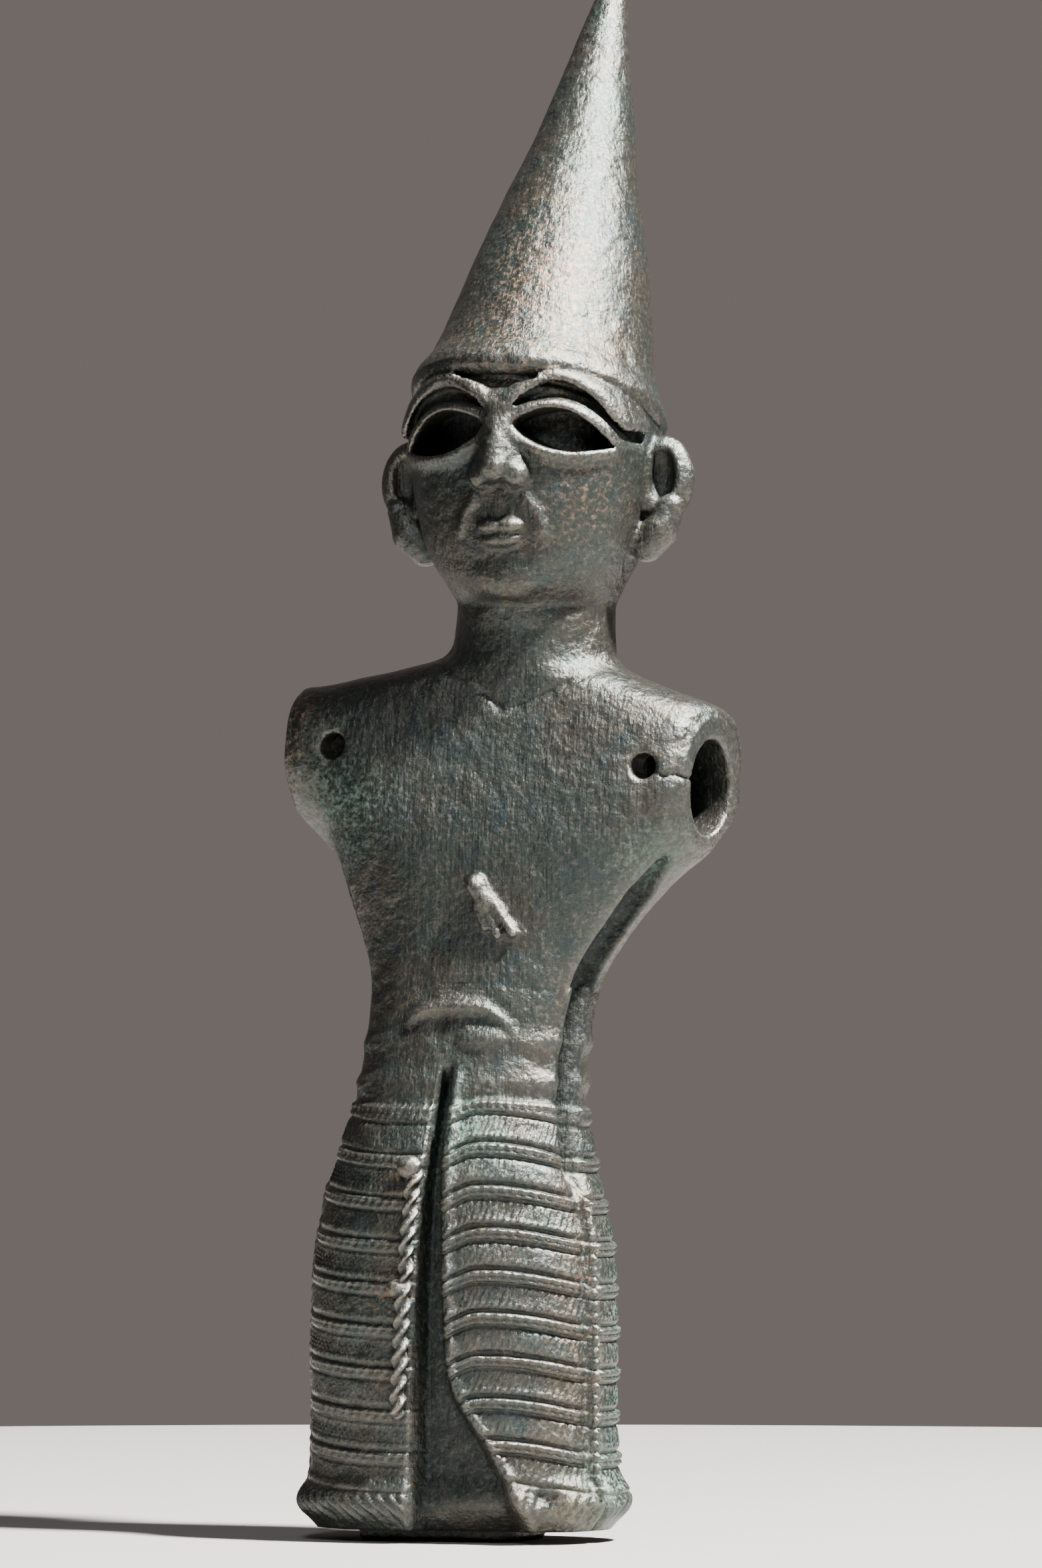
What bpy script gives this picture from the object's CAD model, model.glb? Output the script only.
import math

import bpy
import numpy as np
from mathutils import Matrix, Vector


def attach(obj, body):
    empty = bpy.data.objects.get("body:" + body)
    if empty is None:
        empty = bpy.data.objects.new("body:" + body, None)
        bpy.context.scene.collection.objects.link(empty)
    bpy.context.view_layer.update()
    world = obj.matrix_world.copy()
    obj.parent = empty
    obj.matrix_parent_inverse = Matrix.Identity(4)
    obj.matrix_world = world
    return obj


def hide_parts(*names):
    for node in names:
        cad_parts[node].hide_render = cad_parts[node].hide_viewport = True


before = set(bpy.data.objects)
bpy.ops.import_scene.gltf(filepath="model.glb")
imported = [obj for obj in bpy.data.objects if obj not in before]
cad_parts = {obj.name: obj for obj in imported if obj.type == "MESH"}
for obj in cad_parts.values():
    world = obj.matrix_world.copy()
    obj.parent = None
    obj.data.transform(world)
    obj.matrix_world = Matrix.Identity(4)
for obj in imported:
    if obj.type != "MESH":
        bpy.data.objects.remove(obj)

bl_info = {
    "name": "Storm God Figurine",
    "version": (1, 0, 0),
    "blender": (4, 5, 0),
    "location": "View3D > Sidebar > Figurine",
    "description": "Builds a cast bronze figurine with carved skirt, mask face and patina, and its stage",
    "category": "Add Mesh",
}

# Carving is worked out in millimetres on a straight, symmetric figure, which is then leaned.
# Angles round the figure start at the front and grow towards the figure's left.
MM = 0.001
# least number to divide by, and a distance well outside every form
TINY = 1e-6
FAR = 50.0

# height, half width, reach in front, reach behind, squareness
BODY_OUTLINE = np.array([
    [1.4, 16.8, 10.4, 10.2, 2.6],
    [4.4, 19.0, 12.4, 12.0, 2.7],
    [8.0, 17.4, 11.7, 11.4, 2.7],
    [24.0, 17.2, 12.0, 11.4, 2.6],
    [33.0, 16.8, 11.7, 11.2, 2.6],
    [41.0, 15.3, 10.8, 10.6, 2.5],
    [46.0, 14.2, 9.9, 9.8, 2.5],
    [51.0, 13.2, 8.8, 8.6, 2.5],
    [62.5, 13.4, 7.8, 7.4, 2.6],
    [68.0, 15.6, 7.8, 7.2, 2.6],
    [73.0, 18.2, 8.3, 7.2, 2.7],
    [79.0, 21.0, 8.8, 7.2, 3.0],
    [84.0, 25.4, 8.6, 7.2, 3.2],
    [88.0, 28.8, 8.2, 7.2, 3.2],
    [92.0, 28.0, 7.8, 7.2, 3.0],
    [95.6, 22.4, 7.5, 7.2, 2.6],
    [97.8, 15.6, 7.6, 7.4, 2.2],
    [99.6, 10.6, 7.8, 7.6, 2.0],
    [102.5, 9.3, 7.9, 7.8, 2.0],
    [112.0, 9.2, 7.9, 7.8, 2.0],
])
HEAD_OUTLINE = np.array([
    [105.6, 5.0, 7.6, 3.0, 2.1],
    [107.6, 9.0, 10.4, 6.5, 2.3],
    [111.0, 11.5, 11.6, 9.5, 2.4],
    [116.0, 13.2, 12.3, 12.0, 2.4],
    [122.0, 14.0, 12.6, 13.3, 2.4],
    [129.0, 13.7, 12.6, 13.0, 2.4],
    [134.0, 10.8, 11.2, 10.5, 2.2],
    [137.0, 7.5, 8.2, 8.0, 2.1],
])
# least share of an outline's size and least slope that a distance is worked out with
LEAST_SIZE = 0.05
LEAST_SLOPE = 0.01

# where the straight figure's axis stands, and the heights between which it leans and its shoulders tilt
AXIS = (2.0, -1.6)
LEAN = {"from": 38, "to": 108, "back": 6.0, "left": 6.6}
SHOULDER_SLOPE = {"value": 0.075, "from": 62, "full": 82, "over": 98, "end": 112}
STUB = {"width": 19, "depth": 14, "height": 3, "into": 2.0, "square": 7.0, "bevel": 0.3, "bevel_height": 0.5,
        "sides": 72, "rings": 9}

# radians from the front within which the skirt's opening and the belt's knot may be
FRONT_TURN = 1.2
TIERS = {"count": 9, "bottom": 7.2, "pitch": 4.75, "right_share": 0.55, "left_from": (-2.0, 2.0),
         "fade_in": (-0.12, 0.02), "fade_out": (-0.05, 0.1)}
# share of a tier's height, relief: undercut, lip, band, sunk line, cord, sunk line, cord
TIER_PROFILE = np.array([
    [0.00, -0.24], [0.06, 0.02], [0.13, 0.26], [0.20, 0.30], [0.30, 0.27], [0.45, 0.22], [0.56, 0.18],
    [0.61, 0.02], [0.65, -0.22], [0.70, 0.12], [0.755, 0.42], [0.80, 0.24], [0.835, 0.12], [0.88, 0.46],
    [0.93, 0.44], [0.97, 0.02], [1.00, -0.24],
])
TIER_ROWS = (0.0, 0.06, 0.13, 0.2, 0.29, 0.38, 0.47, 0.56, 0.61, 0.65, 0.7, 0.755, 0.82, 0.88, 0.93, 0.97)
TIER_CORDS = {"pitch": 1.15, "lean": 0.8, "relief": 0.07, "from": (0.7, 0.78), "to": (0.94, 0.98)}
# share of a tier's height that is hatched
BAND = {"from": 0.12, "to": 0.6, "edge": 0.06}
HATCH = {"back": 2.0, "middle": 0.36, "slant": 0.5, "shallow": 0.42}
HEM_ROWS = {"foot": (1.4, 1.7), "from": 2.1, "below_tiers": 0.4, "count": 14}
BELT_ROWS = {"past_top": 0.6, "count": 28}
# droop of the tiers, with the angles or heights over which each one comes and goes
WRAP_DIP = {"opening": 1.6, "right_fall": (-95, -4), "left_rise": (-2, 14),
            "hip": 2.0, "hip_fall": (15, 85), "hip_rise": (95, 180)}
DROOP = {"foot": (3.0, 8.2), "waist": (47.0, 52.0)}
OPENING = {"top": 52.6, "foot": 4.0, "depth": 2.6, "top_half": 0.9, "hem_half": 3.0, "top_fade": (-1.5, 1.0),
           "right_slope": 0.35, "left_slope": 0.8, "swing": 8.0, "swing_foot": 1.0, "swing_top": 24.0,
           "swing_bend": 1.3, "flap": 0.4, "flap_off": 0.55, "flap_half": 0.6}
TIER_ENDS = {"drop": 0.5, "low_drop": 1.0, "bend": 3, "from": 1.2, "reach": 2.25}
CORD = {"top": 43.0, "bottom": 14.0, "radius": 0.82, "top_x": -1.9, "bottom_x": -3.6, "raise": 0.3,
        "lay": 2.1, "swell": 0.3, "end_share": 0.35, "rings": 190, "sides": 20}
# height, radius
CORD_KNOTS = ((42.2, 1.3), (28.6, 1.2))
KNOT = {"off": 0.7, "raise": 0.55, "wide": 1.1, "deep": 0.8, "pole": 0.46, "rings": 13, "sides": 20}
SIDE = {"angle": 75.0, "groove": 2.8, "half": 2.1, "armpit_half": 0.9, "sink": 0.1, "parts": 9, "right": 0.55,
        "hip": 43.0, "hip_fade": (-3.0, 1.0), "armpit": 78.0, "seam_half": 8.0, "smooth": 0.9}
SELVAGE = {"relief": 1.3, "right": 0.2, "off": -1.5, "half": 2.2, "gap": 0.8, "gap_off": 4.6, "gap_half": 2.4,
           "twist": 0.22, "twist_pitch": 1.3, "foot": 7.4, "foot_fade": 1.0}
BELT = {"rolls": (51.8, 56.2, 60.8), "shares": (1.0, 0.7, 0.08), "half": 0.95, "relief": 0.6, "top": 62.6,
        "arch": 1.0, "arch_angle": 28, "arch_from": (50.0, 57.0), "plain": 0.82, "plain_angle": 62,
        "inset": 1.1, "inset_half": 0.55, "under": (-1.9, -0.45)}
CRESCENT = {"angle": 21.0, "level": 59.4, "bow": 1.4, "half": 0.7, "relief": 0.9}
BELT_KNOT = {"x": 3.4, "z": 56.0, "half_x": 3.0, "half_z": 1.3, "relief": 0.5, "round": 0.6}
# oblique cloth folds round the waist: places along the girth from the front, and height
BELT_FOLDS = (
    ((-17.0, 52.8), (-9.0, 54.4), (-1.5, 58.4)),
    ((-15.0, 57.2), (-7.0, 57.6), (-1.0, 59.4)),
    ((3.4, 57.0), (8.0, 55.4), (15.0, 53.4)),
    ((3.0, 59.2), (9.0, 58.8), (16.0, 58.0)),
)
BELT_FOLD = {"depth": 0.13, "half": 0.6, "parts": 9}
FRINGE = {"pitch": 1.35, "back": 2.0, "depth": 0.42, "left_share": 0.5, "top": 7.0, "top_fade": 0.6,
          "bottom": 2.2, "bottom_fade": 1.2, "middle": 4.5, "lean": 0.55}
# place along the girth, height, radius, depth
HEM_PITS = ((12.6, 5.4, 1.5, 1.1), (18.4, 3.6, 1.1, 0.7), (-11.5, 3.2, 1.0, 0.5))

# relief on the chest: start and end of each bar, sideways and in height, and its radius
HILT = (
    ((0.0, 74.0), (1.4, 72.2), 1.15), ((2.0, 72.4), (5.2, 68.6), 0.62), ((1.2, 72.0), (3.5, 68.4), 0.6),
    ((0.5, 71.8), (1.9, 69.2), 0.55),
)
HILT_RAISE = 0.35
HILT_TAPER = 0.85
NECKLINE = {"front": 93.7, "rise": 0.52, "steep": 0.88, "reach": 11.0, "back": -2.5, "radius": 0.28}
NECK = {"cut": 0.5, "overlap": 3.0, "throat": (106.0, 111.0)}
# place behind which the face's carving fades, and how fast
MASK = {"back": -3.0, "fade": 4.0}
# corners of an eye, sideways and in height, and how far its rim swells above and below their line
EYE = {"inner": (1.3, 125.8), "outer": (12.2, 123.2), "rise": 2.9, "fall": 1.65, "depth": 3.6, "round": 0.85,
       "parts": 15}
LID = {"radius": 0.82, "outset": 0.45, "raise": 0.05, "upper": -0.05, "upper_from": (-0.5, 1.0),
       "lower_from": (0.2, 1.5)}
LID_FOLD = {"outset": 2.0, "radius": 0.7, "fade": 4.0, "ends": (-1.2, 0.2)}
BROW_LINE = ((0.6, 127.8), (3.2, 130.0), (6.6, 131.5), (10.4, 130.0), (13.5, 125.8))
BROW = {"radius": 1.15, "parts": 15}
# height, radius, distance out from the face
NOSE = ((128.9, 1.1, -0.3), (127.0, 1.25, -0.1), (124.0, 1.5, 0.65), (121.0, 1.75, 1.35))
# sideways place, height, radius
NOSE_FLANK = ((0.5, 126.6, 1.0), (1.25, 123.4, 1.25), (1.9, 120.4, 1.5))
NOSE_FLANK_INSET = 0.1
NOSE_WING = {"x": 1.95, "z": 120.0, "radius": 1.45, "out": 0.25}
NOSTRIL = {"x": 1.25, "z": 118.5, "radius": 0.7, "out": 1.15}
LIPS = {"upper": 114.4, "lower": 112.9, "half": 2.7, "thick": 0.95, "reach": 1.1, "bow": 1.0,
        "lower_inset": 0.25, "lower_share": 0.85}
SMILE_LINE = ((3.3, 117.4), (4.4, 115.8), (5.0, 113.8))
SMILE = {"radius": 0.15, "parts": 12}
CHIN = {"z": 108.9, "half": 4.2, "high": 2.4, "inset": 1.3, "reach": 1.7}
EAR = {"x": 15.1, "y": 0.1, "z": 120.2, "half_x": 3.8, "half_y": 2.1, "half_z": 4.9}
EAR_BOWL = {"x": 15.5, "y": -2.3, "z": 120.6, "half_x": 1.8, "half_y": 2.3, "half_z": 3.3}
EAR_RIDGE = ((13.9, -1.3, 117.0), (13.5, -1.5, 119.6), (14.0, -1.3, 122.4))
EAR_RIDGE_RADII = (0.75, 0.6, 0.5)
EAR_LOBE = ((16.4, -0.7, 117.0), (15.2, -0.7, 114.4), (13.4, -0.6, 112.7))
EAR_LOBE_RADII = (1.5, 2.1, 2.0)
# radius, distance along the cap's own axis
CAP = np.array([
    [13.2, -1.6], [14.5, -0.9], [14.8, 0.1], [14.4, 1.5], [13.3, 3.6], [12.4, 6.6], [11.7, 10.0],
    [10.4, 16.0], [8.0, 25.0], [5.9, 33.0], [3.9, 42.0], [2.2, 50.0], [1.5, 53.6], [0.8, 54.8], [0.0, 55.1],
])
# radius that the cap loses for each millimetre along its axis
CAP_TAPER = 0.25
CAP_SEAT = {"y": 0.6, "z": 128.6, "back": 20, "left": 3}
BRIM_GAP = {"drop": 0.25, "reach": 13.4, "radius": 0.75, "back": -4.0, "fade": 0.4}
# side of the figure, then the middle of each arm socket's mouth
SOCKETS = ((1, 22.4, -0.6, 86.6), (-1, -27.4, -0.6, 87.2))
# share of the rim's lower half, and how fast the flank swells from it, for each socket
SOCKET_RIMS = ((0.98, 0.5), (0.78, 0.9))
SOCKET_TURN = 16
# half height, distance along the shoulder's axis from its rim
SHOULDER_END = np.array([[7.4, -7.0], [7.9, -3.0], [7.95, -1.4], [7.7, -0.5], [7.0, 0.0]])
SHOULDER_DEPTH = 0.72
SHOULDER_STEEP = 0.8
BORE = {"half_width": 3.9, "half_height": 5.4, "depth": 11}
RIVET = {"places": (17.0, -20.6), "z": 88.5, "radius": 1.5}
CRACK_LINE = ((18.3, 88.0), (19.6, 87.5), (20.8, 87.8), (23.4, 87.0))
CRACK = {"radius": 0.22, "deep": 0.3}

# reach of the fillet where each form meets the rest
FILLETS = {
    "side": 0.6, "socket_rim": 0.5, "shoulder": 3.2, "hilt": 0.4, "neckline": 0.3, "bore": 0.6, "rivet": 0.45,
    "crack": 0.2, "jaw": 1.4, "head": 1.2, "throat": 2.6, "cap": 0.2, "brim_gap": 0.3,
    "ear": 0.7, "ear_bowl": 0.5, "ear_ridge": 0.4, "ear_lobe": 0.35,
    "brow": 0.9, "lid_fold": 0.35, "lid": 0.35, "lower_lid": 0.9, "eye": 0.35,
    "nose": 0.8, "nose_flank": 0.9, "nose_wing": 0.6, "nostril": 0.3, "smile": 1.2, "lips": 0.6, "chin": 1.0,
}

GRID = {"x": (-31.0, 27.0), "y": (-18.5, 22.5), "step": 0.36, "floor": 0.4}
# height from, height to, row spacing
GRID_LEVELS = ((59.6, 107.0, 0.5), (107.0, 134.0, 0.3), (134.0, 181.5, 0.62))
SETTLE = {"rounds": 3, "even": 0.5, "steps": 2, "nudge": 0.02, "least_slope": 0.05, "most": 0.4}
UPPER_TRIANGLES = 80000
SKIRT_STEP = {"front": 0.26, "back": 0.5, "angle": 104.0, "blend": 12, "level": 24.0, "samples": 24001}
DENTS = {"count": 260, "seed": 7, "radius": (0.35, 1.5), "depth": (0.04, 0.2)}
# width of a lump, its height, and the seed
LUMPS = ((7.0, 0.11, 3), (2.2, 0.05, 5))
NOISE_VALUES = 4096
NOISE_STRIDES = (73856093, 19349663, 83492791)
# heights over which the unevenness starts above the flat underside
UNEVEN_FROM = (0.1, 1.5)

# how deep in the eyes, side channels, opening and arm sockets the metal turns dark, how dark, and where
DARK_EYE = {"depth": (0.5, 1.5), "past_rim": 0.2}
DARK_SIDE = {"depth": (0.1, 0.7), "share": 0.8}
DARK_OPENING = {"depth": (0.8, 2.0), "share": 0.85, "back": -4.0, "foot": 3.5, "past_top": 1.0}
DARK_BORE = {"depth": (1.0, 4.0), "wide": 1.15, "past_end": 1.0}
# how much close and wide bends of the skin count as hollow or worn, and how wide is reached
BENDS = {"hollow": (0.55, 1.1), "worn": (0.5, 0.9), "rounds": 7, "keep": 0.3, "least_reach": 0.05}
# middle and reach of each green place on the leaned figure
GREEN_PLACES = (
    ((19.0, 4.0, 22.0), (5.0, 7.0, 16.0)), ((20.0, -4.0, 6.0), (5.0, 6.0, 5.0)),
    ((26.0, -5.0, 77.0), (4.0, 6.0, 3.0)), ((-12.0, -4.0, 83.0), (6.0, 6.0, 6.0)),
    ((6.0, -12.0, 47.0), (4.0, 4.0, 5.0)),
)
# middle and reach of each rusty place on the leaned figure, and how rusty it is
RUST_PLACES = (
    ((-19.0, 0.0, 91.0), (4.0, 6.0, 6.0), 1.0), ((20.0, -9.0, 4.0), (4.0, 5.0, 3.0), 1.0),
    ((18.0, -6.0, 117.0), (4.0, 5.0, 6.0), 0.3), ((17.0, -6.0, 24.0), (3.0, 4.0, 17.0), 0.8),
    ((-2.0, -14.0, 41.0), (2.0, 3.0, 2.0), 0.8), ((-2.5, -14.0, 28.0), (2.0, 3.0, 2.0), 0.8),
    ((13.0, -5.0, 146.0), (8.0, 9.0, 17.0), 0.9),
)
# marks to a millimetre, detail and roughness of the bronze's mottling
MOTTLING = {
    "broad": (0.11, 5.0, 0.6), "patches": (0.3, 6.0, 0.65), "specks": (1.7, 5.0, 0.7),
    "grain": (2.6, 5.0, 0.65), "hammer": (0.55, 2.0, 0.5),
}
SCRATCHES = {"noise": (1.0, 3.0, 0.55), "slant": 38, "stretch": (2.6, 1.4, 0.16)}
# values of the mottling between which each finish comes in
FINISH_RANGE = {
    "brown": (0.35, 0.65), "cool": (0.45, 0.75), "dust": (0.5, 0.75), "rubbed": (0.25, 0.75),
    "sunk": (0.1, 0.6), "rust": (0.46, 0.7), "green": (0.42, 0.66),
}
# most that each finish covers, and what rust and green have away from their places
FINISH_SHARE = {"cool": 0.6, "dust": 0.55, "rubbed": 0.55, "rust_all_over": 0.12, "green_in_hollows": 0.25}
CRUST = {"rust_share": 0.7, "metal_loss": 0.6, "roughness": 0.35}
BARE_METAL = {"metallic": 0.8, "roughness": 0.15, "grain_roughness": 0.28, "sunk_roughness": 0.2}
# depth in metres and strength of each kind of bump
BUMPS = {"hammer": (0.0007, 0.5), "grain": (0.0002, 0.6), "scratches": (0.0002, 0.45)}

FLOOR_SIDES = 96
MATT_ROUGHNESS = 0.85
# places and sizes in metres
KEY_LIGHT = {"place": (0.52, -0.1, 0.92), "size": 0.08, "colour": (1.0, 0.98, 0.94)}
FRONT_LIGHT = {"place": (0.17, -0.74, 0.6), "size": 0.16, "colour": (0.95, 0.98, 1.0)}
# backward share of a direction over which the dim side of the room turns into the light one
ROOM_TURN = (-0.25, 0.75)
SENSOR_HEIGHT = 36.0
NEAR_CLIP = 0.01


def smooth_step(value, low, high):
    """0 below low, 1 above high and an even slope between."""
    share = np.clip((value - low) / (high - low), 0.0, 1.0)
    return share * share * (3.0 - 2.0 * share)


def smooth_union(one, other, reach):
    """The nearer of two distances, with a fillet of about that reach between the forms."""
    mix = np.clip(0.5 + 0.5 * (other - one) / reach, 0.0, 1.0)
    return other + (one - other) * mix - reach * mix * (1.0 - mix)


def smooth_cut(body, tool, reach):
    """The body with the tool's form cut away and its edge rounded."""
    return -smooth_union(-body, tool, reach)


def along_stations(stations, level):
    """Values of a station list at heights, eased through each station."""
    heights, values = stations[:, 0], stations[:, 1:]
    rise = np.diff(values, axis=0) / np.diff(heights)[:, None]
    middle = (values[2:] - values[:-2]) / (heights[2:] - heights[:-2])[:, None]
    slopes = np.vstack([rise[:1], middle, rise[-1:]])
    level = np.clip(level, heights[0], heights[-1])
    at = np.clip(np.searchsorted(heights, level) - 1, 0, len(heights) - 2)
    span = heights[at + 1] - heights[at]
    share = (level - heights[at]) / span
    ease = share * (1.0 - share)
    results = []
    for column in range(values.shape[1]):
        low, high = values[at, column], values[at + 1, column]
        bend_low = slopes[at, column] * span - (high - low)
        bend_high = (high - low) - slopes[at + 1, column] * span
        eased = low + (high - low) * share + ease * ((1.0 - share) * bend_low + share * bend_high)
        results.append(eased)
    return results


def outline_point(stations, angle, level, lift):
    """Points on an outline at angles and heights, moved out by lift."""
    width, front, back, square = along_stations(stations, level)
    sine, cosine = np.sin(angle), np.cos(angle)
    reach = np.where(cosine > 0, front, back)
    x = (width + lift) * np.sign(sine) * np.abs(sine) ** (2.0 / square)
    y = -(reach + lift) * np.sign(cosine) * np.abs(cosine) ** (2.0 / square)
    return x, y


def front_reach(stations, x, level):
    """Where an outline's front is, front to back, at sideways places and heights."""
    width, front, _, square = along_stations(stations, np.asarray(level, dtype=float))
    share = np.clip(np.abs(x) / width, 0.0, 1.0)
    return -front * (1.0 - share ** square) ** (1.0 / square)


def outline_distance(stations, x, y, z):
    """Distance from an outline's skin, below zero inside."""
    width, front, back, square = along_stations(stations, z)
    reach = np.where(y < 0, front, back)
    across, deep = np.abs(x) / width + TINY, np.abs(y) / reach + TINY
    size = np.maximum((across ** square + deep ** square) ** (1.0 / square), LEAST_SIZE)
    steep = np.hypot(across ** (square - 1.0) / width, deep ** (square - 1.0) / reach)
    steep = size ** (1.0 - square) * steep
    return (size - 1.0) / np.maximum(steep, LEAST_SLOPE)


def ellipsoid(x, y, z, middle, radii):
    """Distance from an egg-shaped form."""
    u, v, w = ((p - m) / r for p, m, r in zip((x, y, z), middle, radii))
    size = np.sqrt(u * u + v * v + w * w)
    steep = np.sqrt((u / radii[0]) ** 2 + (v / radii[1]) ** 2 + (w / radii[2]) ** 2)
    return size * (size - 1.0) / np.maximum(steep, TINY)


def bar(x, y, z, points, radii):
    """Distance from a chain of round bars through points, with a radius at each."""
    nearest = None
    for start, end, first, last in zip(points, points[1:], radii, radii[1:]):
        run = np.subtract(end, start)
        share = (x - start[0]) * run[0] + (y - start[1]) * run[1] + (z - start[2]) * run[2]
        share = np.clip(share / (run @ run), 0.0, 1.0)
        gap = np.sqrt((x - start[0] - share * run[0]) ** 2 + (y - start[1] - share * run[1]) ** 2
                      + (z - start[2] - share * run[2]) ** 2)
        gap = gap - (first + (last - first) * share)
        nearest = gap if nearest is None else np.minimum(nearest, gap)
    return nearest


def line_gap(u, v, points):
    """Flat distance from a chain of straight lines."""
    nearest = None
    for start, end in zip(points, points[1:]):
        run = np.subtract(end, start)
        share = np.clip(((u - start[0]) * run[0] + (v - start[1]) * run[1]) / (run @ run), 0.0, 1.0)
        gap = np.hypot(u - start[0] - share * run[0], v - start[1] - share * run[1])
        nearest = gap if nearest is None else np.minimum(nearest, gap)
    return nearest


def eased_line(points, parts):
    """A chain of points bent smoothly through a few given ones."""
    points = np.array(points, dtype=float)
    knots = np.arange(len(points), dtype=float)
    stations = np.column_stack([knots, points])
    return np.column_stack(along_stations(stations, np.linspace(0, knots[-1], parts)))


def lattice_noise(points, width, seed):
    """Smooth noise between -1 and 1 whose lumps are about width across."""
    spread = np.random.default_rng(seed).uniform(-1.0, 1.0, NOISE_VALUES)
    place = points / width
    cell = np.floor(place).astype(np.int64)
    part = place - cell
    part = part * part * (3.0 - 2.0 * part)
    total = np.zeros(len(points))
    for corner in np.ndindex(2, 2, 2):
        at = (cell + np.array(corner)) * np.array(NOISE_STRIDES)
        pick = at[:, 0] ^ at[:, 1] ^ at[:, 2]
        share = np.prod(np.where(np.array(corner) == 1, part, 1.0 - part), axis=1)
        total += share * spread[pick % NOISE_VALUES]
    return total


def posed(x, y, z):
    """Where points of the straight figure stand once it leans and its shoulder drops."""
    lean = smooth_step(z, LEAN["from"], LEAN["to"])
    up = smooth_step(z, SHOULDER_SLOPE["from"], SHOULDER_SLOPE["full"])
    over = smooth_step(z, SHOULDER_SLOPE["over"], SHOULDER_SLOPE["end"])
    drop = x * SHOULDER_SLOPE["value"] * up * (1.0 - over)
    return x + AXIS[0] + LEAN["left"] * lean, y + AXIS[1] + LEAN["back"] * lean, z - drop


def socket_frame(socket):
    """A shoulder socket's middle and its outward, cross and upward directions."""
    side, x, y, z = socket
    middle = np.array(posed(x, y, z))
    turn, tilt = math.radians(SOCKET_TURN), math.atan(SHOULDER_SLOPE["value"])
    out = (side * math.cos(turn), -math.sin(turn), 0.0)
    across = (math.sin(turn), side * math.cos(turn), 0.0)
    cosine, sine = math.cos(tilt), math.sin(tilt)
    tilted = [(v[0] * cosine + v[2] * sine, v[1], v[2] * cosine - v[0] * sine)
              for v in (out, across, (0.0, 0.0, 1.0))]
    return middle, tilted


def socket_place(places, middle, directions):
    """Distances of leaned points outward, across and up from a socket's middle."""
    return [sum((p - m) * v for p, m, v in zip(places, middle, direction)) for direction in directions]


def cap_axis():
    """Direction of the cap's axis."""
    back, left = math.radians(CAP_SEAT["back"]), math.radians(CAP_SEAT["left"])
    return np.array((math.cos(back) * math.sin(left), math.sin(back), math.cos(back) * math.cos(left)))


def cap_place(x, y, z):
    """Distances along the cap's axis and out from it."""
    axis = cap_axis()
    v, w = y - CAP_SEAT["y"], z - CAP_SEAT["z"]
    along = x * axis[0] + v * axis[1] + w * axis[2]
    return along, np.sqrt(np.maximum(x * x + v * v + w * w - along * along, 0.0))


def brim_gap(x, y, z):
    """Distance from the shadow gap under the front of the cap's brim."""
    along, off = cap_place(x, y, z)
    ring = np.hypot(along - CAP[0, 1] + BRIM_GAP["drop"], off - BRIM_GAP["reach"]) - BRIM_GAP["radius"]
    return ring + np.maximum(y - BRIM_GAP["back"], 0.0) * BRIM_GAP["fade"]


def cap_distance(x, y, z):
    """Distance from the tall cap."""
    along, off = cap_place(x, y, z)
    radius = np.interp(along, CAP[:, 1], CAP[:, 0])
    skin = (off - radius) * math.cos(math.atan(CAP_TAPER))
    skin = np.maximum(skin, CAP[0, 1] - along)
    return np.maximum(skin, along - CAP[-1, 1])


def eye_gap(x, z):
    """Flat distance from an eye's almond rim, below zero inside it, and height above the eye's line."""
    start, end = np.array(EYE["inner"]), np.array(EYE["outer"])
    run = end - start
    length = math.hypot(*run)
    run = run / length
    upright = np.array((-run[1], run[0]))
    share = ((x - start[0]) * run[0] + (z - start[1]) * run[1]) / length
    up = (z - start[1]) * run[0] - (x - start[0]) * run[1]
    swell = np.sin(np.pi * np.clip(share, 0.0, 1.0)) ** EYE["round"]
    inside = (up < EYE["rise"] * swell) & (up > -EYE["fall"] * swell)
    turns = np.linspace(0.0, 1.0, EYE["parts"])
    arc = np.sin(np.pi * turns) ** EYE["round"]
    rim = [start + run * length * t + upright * EYE["rise"] * a for t, a in zip(turns, arc)]
    low = [start + run * length * t - upright * EYE["fall"] * a for t, a in zip(turns, arc)]
    gap = line_gap(x, z, rim + low[::-1])
    return np.where(inside, -gap, gap), up


def face_ball(side, y, z, ball):
    """Distance from a ball set on the face."""
    middle = (ball["x"], front_reach(HEAD_OUTLINE, ball["x"], ball["z"]) - ball["out"], ball["z"])
    return ellipsoid(side, y, z, middle, (ball["radius"],) * 3)


def nose_distance(side, y, z):
    """Distance from the nose with its flanks and wings."""
    line = [(0.0, front_reach(HEAD_OUTLINE, 0.0, level) - out, level) for level, _, out in NOSE]
    nose = bar(side, y, z, line, [radius for _, radius, _ in NOSE])
    line = [(at, float(front_reach(HEAD_OUTLINE, at, level)) + NOSE_FLANK_INSET, level)
            for at, level, _ in NOSE_FLANK]
    flank = bar(side, y, z, line, [radius for _, _, radius in NOSE_FLANK])
    nose = smooth_union(nose, flank, FILLETS["nose_flank"])
    return smooth_union(nose, face_ball(side, y, z, NOSE_WING), FILLETS["nose_wing"])


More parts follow.
